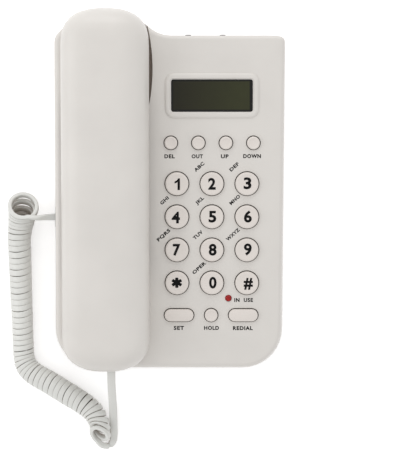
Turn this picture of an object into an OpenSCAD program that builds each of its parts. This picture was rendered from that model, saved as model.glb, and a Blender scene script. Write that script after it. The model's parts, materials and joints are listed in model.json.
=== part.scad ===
// Corded desk telephone: base with keypad, display and cradle, handset, and
// the curly cord between them. Millimetres, +X right, +Y to the rear, +Z up.
// The origin is at the bottom centre, on the surface that the feet stand on.

/* [Base] */
// Width of the base, at its rear
base_w = 126.6; // [122:0.2:140]
// How much further out the right wall stands at the rear than at the front
rear_flare = 1.6; // [0:0.1:3]
// How far the handset stands out over the base's front wall
front_over = 0.4; // [0:0.1:4]
// How far the handset stands out over the base's rear wall, beside the hump
rear_over = 14.6; // [12:0.1:18]
// How far the cradle reaches past the rear edge of the deck
hump_l = 8.5; // [6:0.5:9]
// Height of the deck above the table, at the origin
deck_h = 35; // [34:0.5:42]
// Slope of the deck, rising to the rear
deck_tilt = 7; // [5:0.5:7.5]
// Height of the seam between the bottom cover and the top cover
seam_h = 8; // [7:0.25:8.5]
// Wall thickness of the base covers
base_wall = 2.2; // [1.8:0.1:2.6]
// Radius of the front corners, seen from above
front_r = 22; // [16:1:26]
// Radius of the rounded edge round the deck
deck_edge_r = 2.5; // [1.5:0.1:2.8]
// Draft of the side walls, as the inset at the deck
base_draft = 1; // [0.4:0.1:1.2]

/* [Handset] */
// Length of the handset
handset_l = 197; // [195:1:203]
// Width of the handset
handset_w = 47.5; // [46:0.5:50]
// Height of the handset's back above the deck
handset_rise = 24; // [22:0.5:27]
// Thickness of the grip
grip_t = 20; // [18:0.5:21]
// Depth of the ear and mouth faces below the deck
cup_depth = 10; // [8:0.5:10.5]
// Length of the flat face of each cup
cup_face_l = 36; // [35:0.5:38]
// Length of the slope between a cup's face and the grip
cup_slope_l = 12; // [9:0.5:14]
// Wall thickness of the handset shells
handset_wall = 2.2; // [1.8:0.1:2.6]
// How far the handset's sides tuck in below its widest line, so that they hang over the cradle
side_tuck = 2.2; // [1:0.1:3]
// Depth of the round dish in each cup's face
dish_depth = 2; // [1:0.1:2.4]
// Diameter of the dish in each cup's face
dish_d = 31; // [30:0.5:35]

/* [Cradle] */
// Gap all round between the handset and its cradle
cradle_gap = 1; // [0.6:0.1:1.4]
// Width of the base's rim beside the cradle
rim_w = 3.8; // [3:0.1:4.5]
// Depth of the finger gap under the grip, below the deck
finger_depth = 6; // [4:0.5:7]
// Length of the scoop beside the ear cup
scoop_l = 38; // [30:1:42]
// Gap between parts that move past each other or rest on each other
rest_gap = 0.3; // [0.2:0.05:0.5]

/* [Keys] */
// Distance between neighbouring digit keys, across
key_pitch_x = 19; // [18:0.1:19.4]
// Distance between neighbouring digit keys, along the deck
key_pitch_y = 18.1; // [17.4:0.1:18.4]
// Diameter of a digit key
digit_d = 12.6; // [11:0.1:13]
// Diameter of a small round key
small_d = 7; // [6:0.1:7.6]
// Distance between the small keys under the display
small_pitch = 14.9; // [13:0.1:15.4]
// Length of the two long keys
long_key_l = 15.9; // [13:0.1:17]
// Width of the two long keys
long_key_w = 6.7; // [6:0.1:7.6]
// Height of the keys above the deck
key_rise = 2; // [1.4:0.1:3]
// Gap between a key and its hole
key_gap = 0.5; // [0.3:0.05:0.6]
// Travel of a key
key_travel = 1.2; // [0.8:0.1:1.4]
// Share of the deck's spare width that lies left of the keypad
keypad_place = 0.34; // [0:0.01:1]
// Place of the top digit row along the deck
digit_row_y = 4; // [3:0.1:6]

/* [Display] */
// Width of the display window
window_w = 44; // [40:0.5:46]
// Height of the display window
window_h = 17.4; // [15:0.1:18]
// Thickness of the window pane
pane_t = 1.4; // [1:0.1:1.6]
// Width of the raised frame round the window
frame_w = 51; // [50:0.5:54]
// Height of the raised frame round the window
frame_h = 24.5; // [23:0.5:27]
// How far the frame stands above the deck
frame_rise = 0.9; // [0.5:0.1:1.4]
// Place of the window along the deck
window_y = 51.8; // [50:0.1:54]
// Diameter of the call lamp
lamp_d = 3.4; // [3:0.1:4]

/* [Feet and screws] */
// How far the rubber feet stand out below the base
foot_rise = 1.5; // [1:0.1:2]
// Diameter of a rubber foot
foot_d = 12; // [9:0.5:14]
// Diameter of the screws
screw_d = 2.9; // [2.5:0.1:3.2]
// Diameter of the screw heads
screw_head_d = 5.4; // [5:0.1:6]
// Distance between the two wall hooks
wall_pitch = 83; // [76:1:86]
// Diameter of the wall screw's head that the keyholes take
keyhole_d = 8; // [7:0.1:9]
// Diameter of the wall screw's shank that the keyholes take
keyslot_w = 4.2; // [3.6:0.1:4.6]

/* [Switches and jacks] */
// Travel of the hook plunger
hook_travel = 4; // [3:0.5:5]
// Travel of the ringer and dialling switches
switch_travel = 4; // [3:0.5:4.5]
// Width of the line socket's opening
line_socket_w = 9.8; // [9.6:0.1:10.2]
// Height of the line socket's opening
line_socket_h = 6.8; // [6.6:0.1:7.2]
// Width of a cord plug
plug_w = 7.6; // [7.2:0.1:7.8]
// Height of a cord plug
plug_h = 6.2; // [5.8:0.1:6.4]
// Length of a cord plug
plug_l = 11.5; // [10.5:0.5:12]
// Gap between a plug and its socket
plug_gap = 0.12; // [0.08:0.02:0.2]

/* [Cord] */
// Width of the flat cord
cord_w = 3.7; // [3.2:0.1:4]
// Thickness of the flat cord
cord_t = 2.3; // [2:0.1:2.6]
// Outer radius of the coil
coil_r = 6.5; // [6:0.1:6.5]

/* [Hidden] */

$fn = 48;

// Colours
shell_colour = "#D7D3CE";
key_colour = "#DDD8D3";
board_colour = "#3E7A48";
steel_colour = "#A9ACB0";
black_colour = "#2A2A2A";
clear_colour = "#CFE0E6";
cord_colour = "#D5D5D1";

// Plan of the base
side_x = base_w / 2;
handset_y = 0.9;
front_y = handset_y - handset_l / 2 + front_over;
rear_y = handset_y + handset_l / 2 - rear_over;
hump_y = rear_y + hump_l;

// Handset, in the deck's own frame: x across, y along the slope, z out of it
grip_z = handset_rise - grip_t;
part_z = grip_z + 4;
face_z = -cup_depth;
tucked = 2 * side_tuck / handset_w;
handset_x = -side_x + rim_w + cradle_gap + handset_w / 2;
nose_l = 18;
tail_l = 20;
nose_n = 2.3;
tail_n = 2.6;
cup_end_l = 7;
cup_face_y = handset_l / 2 - cup_end_l - cup_face_l / 2;
face_0 = cup_face_y - cup_face_l / 2;
end_steps = 8;
across = 14;
back_bow = 1.2;
back_end_l = 13;
dish_floor = face_z + dish_depth + handset_wall;
handset_screw_y = 38;
handset_screw_l = 11;
capsule_r = dish_d / 2 - 1.5;
capsule_h = 7.5;
microphone_d = 9.7;
microphone_h = 6.7;
weight_w = 24;
weight_l = 56;
weight_t = 8;
weight_gap = 0.1;

// Cradle
well_z = face_z - rest_gap;
cradle_edge_x = handset_x + handset_w / 2 - side_tuck + cradle_gap;
well_slack = 5;
well_ramp = 4;
scoop_out = 1.8;
scoop_y = cup_face_y - 8;

// Arcs of the base's outline, each with its centre and radius
hump_r = 12;
hollow_r = hump_l / (1 - cos(45)) - hump_r;
hump_flat_x = handset_x + 15;
hollow = [hump_flat_x + (hump_r + hollow_r) * sin(45), rear_y + hollow_r];
rear_r = 20;
rear_corner_r = 4;
rear_arc = [side_x - 7.5, rear_y - rear_r];
rear_corner_x = side_x - rear_corner_r;
rear_corner_a = acos((rear_corner_x - rear_arc[0]) / (rear_r - rear_corner_r));
rear_corner = rear_arc + (rear_r - rear_corner_r) * [cos(rear_corner_a), sin(rear_corner_a)];
shoulder_r = 8;
shoulder = [-side_x + shoulder_r, hump_y - 13];
hump_turn = [shoulder[0] + 6.65, hump_y - hump_r];

// Keys, boards and membrane, as heights in the deck's frame
flange_t = 0.9;
stem_r = 1.4;
flange_out = 1;
flange_top = -base_wall - 0.4;
flange_bottom = flange_top - flange_t;
dome_top = flange_bottom - 0.05;
dome_h = key_travel + 0.3;
membrane_t = 0.8;
dome_d = 6.4;
board_top = dome_top - dome_h - membrane_t;
board_t = 1.6;
cap_d = 5;
cap_l = 6;
window_r = 1.3;
lcd_t = 2.8;
lcd_board_t = 1.2;

long_key_off = 17.5;
bottom_row_dx = -0.4;
deck_left = cradle_edge_x + base_wall;
deck_right = side_x - base_draft - base_wall;
keypad_half = long_key_off + long_key_l / 2 + flange_out + key_gap;
spare_w = deck_right - deck_left - 2 * keypad_half;
keypad_x = deck_left + keypad_half + keypad_place * spare_w - bottom_row_dx;
small_row_off = 22.2;
bottom_row_off = 17.8;
small_y = digit_row_y + small_row_off;
last_row_y = digit_row_y - 3 * key_pitch_y;
bottom_row_y = last_row_y - bottom_row_off;

// Name, x, y, kind of each key: "digit", "small" or "long"
function digit_at(col, row) =
    [keypad_x + (col - 1) * key_pitch_x, digit_row_y - row * key_pitch_y];
function small_at(i) = [keypad_x + (i - 1.5) * small_pitch + 0.1, small_y];
digit_places = [for (row = [0:3], col = [0:2]) digit_at(col, row)];
small_places = concat([for (i = [0:3]) small_at(i)],
                      [[keypad_x + bottom_row_dx, bottom_row_y]]);
long_places = [for (s = [-1, 1]) [keypad_x + bottom_row_dx + s * long_key_off, bottom_row_y]];
lamp_place = [keypad_x + 9, last_row_y - 8.5];

// Main board and the posts that it hangs on
small_screw_d = 2.2;
board_x0 = cradle_edge_x + base_wall + 1;
board_x1 = side_x - rear_flare - base_wall - base_draft - 1.4;
board_over = 8.5;
board_y0 = bottom_row_y - board_over;
board_y1 = small_y + board_over;
board_post_d = 4.4;
main_posts = [for (x = [board_x0 + 3, board_x1 - 3], y = [digit_row_y, last_row_y])
              [x, y - key_pitch_y / 2]];

// Screw posts: x, y in the base's frame
post_d = 7;
post_h = 13;
base_posts = [[side_x - 8, rear_y - 32], [side_x - rear_flare - 12, front_y + 12],
              [handset_x - 9, 30], [handset_x - 9, -36]];
head_floor = 5.5;
base_screw_l = 12;
tray_in = base_wall + 1.4;
socket_stand_x = -side_x + 7;

// Keyholes and feet
floor_z = foot_rise;
keyhole_x = handset_x + 33;
foot_inset = 15;
foot_places = [for (x = [-1, 1], y = [front_y + 2 * foot_inset, rear_y - foot_inset])
               [x * (side_x - foot_inset), y]];
foot_sunk = 1;

// Line board and its parts, on the bottom cover
line_board_top = 12;
line_board_l = 62;
line_board_d = 20;
line_board_end = deck_right - 0.3;
line_board_x = line_board_end - line_board_l / 2;
line_board_y = rear_y - base_wall - base_draft - 1.5;
jack_w = line_socket_w + 5;
jack_h = line_socket_h + 5;
jack_d = 17;
line_jack_x = line_board_end - 11;
switch_w = 12;
switch_h = 6;
switch_d = 6;
knob_w = 3;
knob_h = 3;
ringer_x = line_jack_x - 18;
dial_x = line_jack_x - 37;
board_posts = [[line_board_x - line_board_l / 2 + 4, line_board_y - 15],
               [line_jack_x - 9.5, line_board_y - 15]];

// Cord socket on the left side of the base
socket_y = -14;
socket_z = 16.5;
socket_wall = 1.6;
socket_w = plug_w + 2 * (plug_gap + socket_wall);
socket_h = plug_h + 2 * (plug_gap + socket_wall);
base_plug_x = -side_x + 0.6;

// Cord socket in the handset's nose
nose_socket_x = handset_x + 3;
nose_socket_z = dish_floor + socket_h / 2 + 0.1;
nose_face_y = -handset_l / 2 + handset_wall + 4;
nose_plug_y = handset_y - handset_l / 2 + 1.2;

// Ringer and hook
ringer_d = 32;
ringer_t = 6;
ringer_at = [side_x - 30, 30];
hook_at = [handset_x + 10, handset_y + cup_face_y];
hook_w = 8;
hook_l = 6;
hook_stem_d = 4;
hook_box = [14, 12, 13];
hook_stem_l = 9;
hook_flange_bottom = well_z - base_wall - hook_travel - 1.8;
hook_switch_top = hook_flange_bottom - 0.3;

// Route of the cord's plain stretches and of the coil's axis
base_lead_route = [[-62.8, -14, 16.5], [-65.3, -14, 16.5], [-68, -14.2, 17], [-70.8, -14.7, 17.5],
                   [-73.5, -14.7, 18], [-75.4, -13.8, 18.1]];
coil_route = [[-80, -8, 21], [-80.5, -9.5, 16], [-81.5, -12, 11.5], [-83, -16.5, 8],
              [-83.7, -22.5, 6.8], [-83.8, -34.5, 6.5], [-83.5, -54, 6.5], [-83, -72, 6.5],
              [-82.7, -84, 6.5], [-81.8, -91, 6.5], [-78.3, -96.7, 6.5], [-71, -103.7, 6.5],
              [-60.5, -110.2, 6.5], [-50, -117.2, 6.5], [-44.6, -121.6, 6.5],
              [-41.6, -126.6, 7.2], [-40.7, -131.4, 8.6], [-41.2, -135.1, 11]];
handset_lead_route = [[-38.3, -139.7, 6.8], [-36.5, -140.5, 4.8], [-34.7, -140, 3.3],
                      [-33, -137.7, 2.5], [-32.3, -134.6, 2.6], [-32, -129.9, 4.2],
                      [-31.9, -124.5, 7.4], [-31.8, -119, 11.4], [-31.8, -113.5, 15.4],
                      [-31.8, -107.5, 18.8], [-31.8, -101, 21.2], [-31.8, -96.1, 22.2]];

// ---------------------------------------------------------------- helpers

function deck_z(y) = deck_h + y * tan(deck_tilt);
function arc(c, r, a0, a1, n) =
    [for (i = [0:n]) let (a = a0 + (a1 - a0) * i / n) c + r * [cos(a), sin(a)]];

// Places its children in the deck's frame
module on_deck() {
    translate([0, 0, deck_h]) rotate([deck_tilt, 0, 0]) children();
}

// Places its children at each of a list of places on the deck
module at_each(places) {
    for (p = places) translate([p[0], p[1], 0]) children();
}

// A solid through closed rings of equal length, each counter-clockwise from
// above, listed upwards, with a fan on a middle point at each end
module loft(rings) {
    n = len(rings[0]);
    m = len(rings);
    function middle(r) = [for (k = [0:2]) ([for (p = r) 1] * [for (p = r) p[k]]) / n];
    points = concat([for (r = rings) each r], [middle(rings[0]), middle(rings[m - 1])]);
    sides = [for (i = [0:m - 2], j = [0:n - 1]) let (k = (j + 1) % n)
             each [[i * n + j, (i + 1) * n + j, (i + 1) * n + k],
                   [i * n + j, (i + 1) * n + k, i * n + k]]];
    bottom = [for (j = [0:n - 1]) [m * n, j, (j + 1) % n]];
    top = [for (j = [0:n - 1])
           [m * n + 1, (m - 1) * n + (j + 1) % n, (m - 1) * n + j]];
    polyhedron(concat(points), concat(sides, bottom, top), convexity = 8);
}

// Outline of the base, moved inwards by d
function base_outline(d) = concat(
    arc([side_x - rear_flare - front_r, front_y + front_r], front_r - d, -90, 0, 9),
    arc(rear_corner, max(rear_corner_r - d, 0.3), 0, rear_corner_a, 4),
    arc(rear_arc, rear_r - d, rear_corner_a + 3, 90, 2),
    arc(hollow, hollow_r + d, -90, -135, 4),
    arc([hump_flat_x, hump_y - hump_r], hump_r - d, 45, 90, 3),
    arc(hump_turn, hump_r - d, 90, 135, 3),
    arc(shoulder, shoulder_r - d, 135, 180, 3),
    arc([-side_x + front_r, front_y + front_r], front_r - d, 180, 270, 9));

function level_ring(d, z) = [for (p = base_outline(d)) [p[0], p[1], z]];
function deck_ring(d, drop) = [for (p = base_outline(d)) [p[0], p[1], deck_z(p[1]) - drop]];

// Half outline of the handset seen from above, moved inwards by d: the right
// side from the nose to the tail, as [x, y] from the handset's own middle
function side_stations() = let (s = [for (i = [0:4]) face_0 - cup_slope_l * i / 4])
    concat([for (i = [0:4]) -s[i]], [-15, 15], [for (i = [4:-1:0]) s[i]]);
function handset_half(d) =
    let (a = handset_w / 2 - d, y0 = -handset_l / 2 + d, y1 = handset_l / 2 - d,
         e0 = nose_l - d, e1 = tail_l - d)
    concat(
        [for (i = [0:end_steps]) let (t = 90 * (i + 0.5) / (end_steps + 0.5))
         [a * pow(sin(t), 2 / nose_n), y0 + e0 * (1 - pow(cos(t), 2 / nose_n))]],
        [for (y = side_stations()) [a, y]],
        [for (i = [end_steps:-1:0]) let (t = 90 * (i + 0.5) / (end_steps + 0.5))
         [a * pow(sin(t), 2 / tail_n), y1 - e1 * (1 - pow(cos(t), 2 / tail_n))]]);

// The whole outline below the widest line, grown by g, as a flat polygon
module handset_plan(g) {
    half = [for (p = handset_half(0)) [p[0] * (1 - tucked), p[1]]];
    left = [for (i = [len(half) - 1:-1:0]) [-half[i][0], half[i][1]]];
    offset(delta = g) polygon(concat(half, left));
}

// Height of a handset shell's skin from the seam, at y, moved inwards by off
function clamp01(t) = min(max(t, 0), 1);
function smooth(t) = let (c = clamp01(t)) c * c * (3 - 2 * c);
function end_fall(y, l, p, off) =
    let (e = clamp01((abs(y) - (handset_l / 2 - l)) / (l - off))) pow(1 - pow(min(e, 0.999), p), 1 / p);
function front_depth(y, off) =
    let (cup = smooth((abs(y) - (face_0 - cup_slope_l)) / cup_slope_l),
         deep = (part_z - grip_z) * (1 - cup) + (part_z - face_z) * cup)
    (deep - off) * end_fall(y, cup_end_l, 2.4, off);
function back_depth(y, off) =
    (handset_rise - part_z - back_bow * pow(2 * y / handset_l, 2) - off)
    * end_fall(y, back_end_l, 2.4, off);

// Half of the handset: an open trough whose skin is a row of rounded sections
// along its length, closed at the seam by a flat rim
module trough(up, n, depth) {
    outer = handset_half(0);
    inner = handset_half(handset_wall);
    m = len(outer) - 1;
    w = across + 1;
    function section(p, h) =
        [for (j = [0:across]) let (t = 180 * j / across, off = h * pow(abs(sin(t)), 2 / n),
                                   slim = up > 0 ? 1 : 1 - tucked * smooth(off / part_z))
         [p[0] * sign(cos(t)) * pow(abs(cos(t)), 2 / n) * slim, p[1], part_z + up * off]];
    points = concat([for (p = outer) each section(p, depth(p[1], 0))],
                    [for (p = inner) each section(p, depth(p[1], handset_wall))]);
    k = (m + 1) * w;
    quads = concat(
        [for (i = [0:m - 1], j = [0:across - 1])
         [i * w + j, i * w + j + 1, (i + 1) * w + j + 1, (i + 1) * w + j]],
        [for (i = [0:m - 1], j = [0:across - 1])
         [k + (i + 1) * w + j, k + (i + 1) * w + j + 1, k + i * w + j + 1, k + i * w + j]],
        [for (i = [0:m - 1]) [i * w, (i + 1) * w, k + (i + 1) * w, k + i * w]],
        [for (i = [0:m - 1])
         [i * w + across, k + i * w + across, k + (i + 1) * w + across, (i + 1) * w + across]],
        [[0, k, k + across, across],
         [m * w, m * w + across, k + m * w + across, k + m * w]]);
    tris = [for (q = quads) each [[q[0], q[1], q[2]], [q[0], q[2], q[3]]]];
    caps = [[for (j = [across:-1:0]) j], [for (j = [0:across]) m * w + j],
            [for (j = [0:across]) k + j], [for (j = [across:-1:0]) k + m * w + j]];
    faces = concat(tris, caps);
    polyhedron(points, up > 0 ? faces : [for (f = faces) [for (i = [len(f) - 1:-1:0]) f[i]]],
               convexity = 8);
}

// The room for the handset in the base, grown sideways by g and down by drop
module cradle_space(g, drop) {
    y1 = face_0 - well_slack - drop;
    y0 = y1 - well_ramp;
    long = handset_l;
    translate([handset_x, handset_y, 0]) {
        intersection() {
            translate([0, 0, well_z - drop]) linear_extrude(60) handset_plan(g);
            rotate([90, 0, 90]) translate([0, 0, -handset_w]) linear_extrude(2 * handset_w)
                polygon([[-long, well_z - drop], [-y1, well_z - drop],
                         [-y0, -finger_depth - drop], [y0, -finger_depth - drop],
                         [y1, well_z - drop], [long, well_z - drop], [long, 60], [-long, 60]]);
        }
        scoop_r = (pow(scoop_l / 2, 2) + pow(scoop_out, 2)) / (2 * scoop_out);
        intersection() {
            translate([handset_w / 2 - 4, -handset_l / 2, -finger_depth - drop])
                cube([20, 2 * handset_l, 60]);
            translate([handset_w / 2 + scoop_out - scoop_r, scoop_y, -30])
                cylinder(r = scoop_r + g - cradle_gap, h = 90, $fn = 180);
        }
    }
}

// A flat outline with round ends, and a rounded rectangle, as closed rings
function stadium(l, w, z) = let (r = w / 2, c = l / 2 - r)
    [for (p = concat(arc([c, 0], r, -90, 90, 8), arc([-c, 0], r, 90, 270, 8))) [p[0], p[1], z]];
function rounded(w, h, r, z) =
    [for (q = [0:3]) let (c = [[1, -1], [1, 1], [-1, 1], [-1, -1]][q])
     each [for (p = arc([c[0] * (w / 2 - r), c[1] * (h / 2 - r)], r, q * 90 - 90, q * 90, 4))
           [p[0], p[1], z]]];

module box_at(centre, size) {
    translate([centre[0] - size[0] / 2, centre[1] - size[1] / 2, centre[2] - size[2] / 2])
        cube(size);
}

// A sheath of an elliptical section swept along a route: w wide, t thick,
// the width level. 8 sides.
module strap(route, w, t) {
    n = len(route);
    function way(i) = let (a = route[max(i - 1, 0)], b = route[min(i + 1, n - 1)]) (b - a) / norm(b - a);
    function side(i) = let (d = way(i), s = cross(d, [0, 0, 1])) s / norm(s);
    function ring(i) = let (s = side(i), u = cross(s, way(i)))
        [for (j = [0:7]) let (a = 22.5 + 45 * j) route[i] + s * w / 2 * cos(a) + u * t / 2 * sin(a)];
    points = [for (i = [0:n - 1]) each ring(i)];
    sides = [for (i = [0:n - 2], j = [0:7]) let (k = (j + 1) % 8)
             each [[i * 8 + j, i * 8 + k, (i + 1) * 8 + k], [i * 8 + j, (i + 1) * 8 + k, (i + 1) * 8 + j]]];
    polyhedron(points, concat(sides, [[7, 6, 5, 4, 3, 2, 1, 0], [for (j = [0:7]) (n - 1) * 8 + j]]),
               convexity = 6);
}

// ------------------------------------------------------------- base covers

module base_bottom_cover() {
    switch_floor = hook_switch_top - hook_box[2];
    color(shell_colour) difference() {
        union() {
            difference() {
                loft([level_ring(2, floor_z), level_ring(0.5, floor_z + 1.3),
                      level_ring(0, seam_h), level_ring(base_wall + 0.15, seam_h),
                      level_ring(base_wall + 0.2, seam_h + 1)]);
                loft([level_ring(tray_in, floor_z + base_wall),
                      level_ring(tray_in, seam_h + 2)]);
            }
            for (p = base_posts) translate([p[0], p[1], floor_z + 0.5])
                cylinder(d = post_d + 2, h = post_h - floor_z - 0.5);
            for (p = board_posts) translate([p[0], p[1], floor_z + 0.5])
                cylinder(d = 6, h = line_board_top - board_t - floor_z - 0.5);
            difference() {
                translate([hook_at[0] - 6, hook_at[1] - 3, floor_z + 0.5]) cube([12, 9, 30]);
                on_deck() translate([-100, 0, switch_floor]) cube([200, 200, 60]);
            }
            translate([socket_stand_x - 4, socket_y - 4, floor_z + 0.5])
                cube([8, 8, socket_z - socket_h / 2 - floor_z - 0.5]);
            translate([ringer_at[0], ringer_at[1], floor_z + 0.5])
                difference() {
                    cylinder(d = ringer_d + 3.4, h = base_wall + 1.5);
                    translate([0, 0, -1]) cylinder(d = ringer_d + 0.4, h = 10);
                }
        }
        for (p = base_posts) translate([p[0], p[1], floor_z - 1]) {
            cylinder(d = screw_head_d + 0.6, h = head_floor - floor_z + 1);
            cylinder(d = screw_d + 0.3, h = 30);
        }
        for (p = board_posts) translate([p[0], p[1], floor_z + base_wall + 1])
            cylinder(d = small_screw_d + 0.1, h = 30);
        for (p = foot_places) translate([p[0], p[1], floor_z - 1])
            cylinder(d = foot_d + 0.2, h = foot_sunk + 1);
        for (y = [-1, 1]) translate([keyhole_x, y * wall_pitch / 2, floor_z - 1]) {
            cylinder(d = keyhole_d, h = base_wall + 2);
            translate([-keyslot_w / 2, 0, 0]) cube([keyslot_w, keyhole_d, base_wall + 2]);
            translate([0, keyhole_d, 0]) cylinder(d = keyslot_w, h = base_wall + 2);
        }
        for (i = [-2:2]) translate([ringer_at[0] + i * 4.4 - 1, ringer_at[1] - 9, floor_z - 1])
            cube([2, 18, base_wall + 2]);
    }
}

module base_top_cover() {
    color(shell_colour) difference() {
        union() {
            difference() {
                loft(concat([level_ring(0, seam_h)],
                    [for (a = [0, 25, 50, 70, 90])
                     deck_ring(base_draft + deck_edge_r * (1 - cos(a)), deck_edge_r * (1 - sin(a)))]));
                difference() {
                    loft([level_ring(base_wall, seam_h - 1),
                          deck_ring(base_wall + base_draft, base_wall / cos(deck_tilt))]);
                    on_deck() cradle_space(cradle_gap + base_wall, base_wall);
                    for (p = base_posts) translate([p[0], p[1], post_h])
                        cylinder(d = post_d, h = 60);
                    on_deck() for (p = main_posts) translate([p[0], p[1], board_top])
                        cylinder(d = board_post_d, h = 20);
                }
            }
            on_deck() translate([keypad_x, window_y, 0])
                loft([rounded(frame_w, frame_h, 5, -0.6), rounded(frame_w, frame_h, 5, 0.1),
                      rounded(frame_w - 1, frame_h - 1, 4.6, frame_rise - 0.25),
                      rounded(frame_w - 2.4, frame_h - 2.4, 4, frame_rise)]);
        }
        on_deck() {
            cradle_space(cradle_gap, 0);
            translate([keypad_x, window_y, 0]) {
                loft([rounded(window_w + 0.2, window_h + 0.2, window_r, -pane_t),
                      rounded(window_w + 0.2, window_h + 0.2, window_r, 0.1),
                      rounded(window_w + 2, window_h + 2, window_r + 0.9, frame_rise + 0.1)]);
                translate([-window_w / 2 + 2, -window_h / 2 + 1.5, -10])
                    cube([window_w - 4, window_h - 3, 20]);
            }
            at_each(digit_places) translate([0, 0, -8]) cylinder(d = digit_d + 2 * key_gap, h = 20);
            at_each(small_places) translate([0, 0, -8]) cylinder(d = small_d + 2 * key_gap, h = 20);
            at_each(long_places) loft([stadium(long_key_l + 2 * key_gap, long_key_w + 2 * key_gap, -8),
                                       stadium(long_key_l + 2 * key_gap, long_key_w + 2 * key_gap, 8)]);
            at_each([lamp_place]) translate([0, 0, -8]) cylinder(d = lamp_d + 0.3, h = 20);
            for (p = main_posts) translate([p[0], p[1], board_top - 1])
                cylinder(d = small_screw_d + 0.1, h = -board_top - base_wall + 1.5);
            translate([hook_at[0] - hook_w / 2 - 0.3, hook_at[1] - hook_l / 2 - 0.3, well_z - 5])
                cube([hook_w + 0.6, hook_l + 0.6, 10]);
        }
        for (p = base_posts) translate([p[0], p[1], post_h - 1])
            cylinder(d = screw_d + 0.1, h = base_screw_l + head_floor - post_h + 2);
        box_at([-side_x, socket_y, socket_z], [14, socket_w + 0.3, socket_h + 0.3]);
        box_at([line_jack_x, rear_y, line_board_top + jack_h / 2], [jack_w + 0.4, 14, jack_h + 0.4]);
        for (x = [ringer_x, dial_x])
            box_at([x, rear_y, line_board_top + switch_h / 2],
                   [switch_travel + knob_w + 0.8, 14, knob_h + 0.8]);
    }
}

module rubber_feet() {
    r = foot_d / 2;
    color(black_colour) for (p = foot_places) translate([p[0], p[1], 0]) rotate_extrude()
        polygon([[0, 0], [r - 0.8, 0], [r, 0.6], [r, floor_z + foot_sunk], [0, floor_z + foot_sunk]]);
}

// A pan-head screw, its head's bearing face at z = 0 and its shaft upwards
module screw(d, head_d, l) {
    difference() {
        union() {
            cylinder(d = d, h = l);
            translate([0, 0, -d * 0.7]) cylinder(d1 = head_d * 0.8, d2 = head_d, h = d * 0.7);
        }
        for (a = [0, 90]) rotate(a) translate([-head_d * 0.3, -0.35, -d])
            cube([head_d * 0.6, 0.7, d * 0.7]);
    }
}

module base_screws() {
    color(steel_colour) for (p = base_posts) translate([p[0], p[1], head_floor])
        screw(screw_d, screw_head_d, base_screw_l);
}

// --------------------------------------------------------- display and keys

module display_pane() {
    color(black_colour) on_deck() translate([keypad_x, window_y, 0])
        loft([for (z = [-pane_t, 0]) rounded(window_w, window_h, window_r, z)]);
}

module display_module() {
    color(board_colour) on_deck() translate([keypad_x, window_y, -base_wall]) {
        translate([-window_w / 2 + 0.5, -window_h / 2, -lcd_t]) cube([window_w - 1, window_h, lcd_t]);
        translate([-window_w / 2 - 1, -window_h / 2 - 2, -lcd_t - lcd_board_t])
            cube([window_w + 2, window_h + 4, lcd_board_t]);
    }
}

// A round key with its flange; a digit key is hollow round its stem
module round_key(d) {
    r = d / 2;
    stem = [[stem_r, flange_bottom], [stem_r, -1.2], [r - 1, -1.2], [r - 1, flange_bottom]];
    rotate_extrude() polygon(concat(
        [[0, flange_bottom]], d > 2 * stem_r + 6 ? stem : [],
        [[r + flange_out, flange_bottom], [r + flange_out, flange_top], [r, flange_top]],
        arc([r - 0.7, key_rise - 0.7], 0.7, 0, 90, 3),
        [[r * 0.6, key_rise - 0.22], [r * 0.3, key_rise - 0.34], [0, key_rise - 0.38]]));
}

module long_key() {
    function ring(g, z) = stadium(long_key_l + 2 * g, long_key_w + 2 * g, z);
    loft([ring(flange_out, flange_bottom), ring(flange_out, flange_top), ring(0, flange_top),
          ring(0, key_rise - 0.6), ring(-0.2, key_rise - 0.15), ring(-0.7, key_rise)]);
}

module digit_key(i) {
    color(key_colour) on_deck() at_each([digit_places[i]]) round_key(digit_d);
}

module small_key(i) {
    color(key_colour) on_deck() at_each([small_places[i]]) round_key(small_d);
}

module wide_key(i) {
    color(key_colour) on_deck() at_each([long_places[i]]) long_key();
}

module keypad_membrane() {
    x0 = board_x0 + 3 + board_post_d / 2 + 0.6;
    x1 = board_x1 - 3 - board_post_d / 2 - 0.6;
    color("#B9B4AE") on_deck() difference() {
        union() {
            translate([x0, board_y0 + 1, board_top])
                cube([x1 - x0, board_y1 - board_y0 - 2, membrane_t]);
            at_each(concat(digit_places, small_places, long_places))
                translate([0, 0, board_top + membrane_t - 0.1])
                cylinder(d1 = dome_d, d2 = dome_d * 0.62, h = dome_h + 0.1);
        }
        at_each([lamp_place]) translate([0, 0, board_top - 1]) cylinder(d = 5, h = 10);
    }
}

module call_lamp() {
    r = lamp_d / 2;
    color("#C8201A") on_deck() at_each([lamp_place]) {
        rotate_extrude() polygon(concat(
            [[0, flange_bottom], [r + 0.5, flange_bottom], [r + 0.5, flange_top], [r, flange_top]],
            arc([0, 0.3], r, 0, 90, 5) * [[1, 0], [0, 0.5]] + [for (i = [0:5]) [0, 0.15]]));
        for (x = [-0.8, 0.8]) translate([x, 0, board_top])
            cylinder(d = 0.6, h = flange_bottom - board_top + 0.1);
    }
}

// ---------------------------------------------------------- boards and jacks

module main_board() {
    color(board_colour) on_deck() difference() {
        union() {
            translate([board_x0, board_y0, board_top - board_t])
                cube([board_x1 - board_x0, board_y1 - board_y0, board_t]);
            under = board_top - board_t;
            box_at([keypad_x + 6, -12, under - 1.5], [24, 8, 3.4]);
            box_at([keypad_x - 12, -30, under - 1.3], [10, 6, 3]);
            box_at([keypad_x + 14, -34, under - 2.2], [10, 5, 4.8]);
            for (i = [0:3]) translate([keypad_x - 20 + i * 8, small_y - 8, under - cap_l])
                cylinder(d = cap_d, h = cap_l + 0.2);
        }
        for (p = main_posts) translate([p[0], p[1], board_top - 5])
            cylinder(d = small_screw_d + 0.2, h = 10);
    }
}

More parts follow.
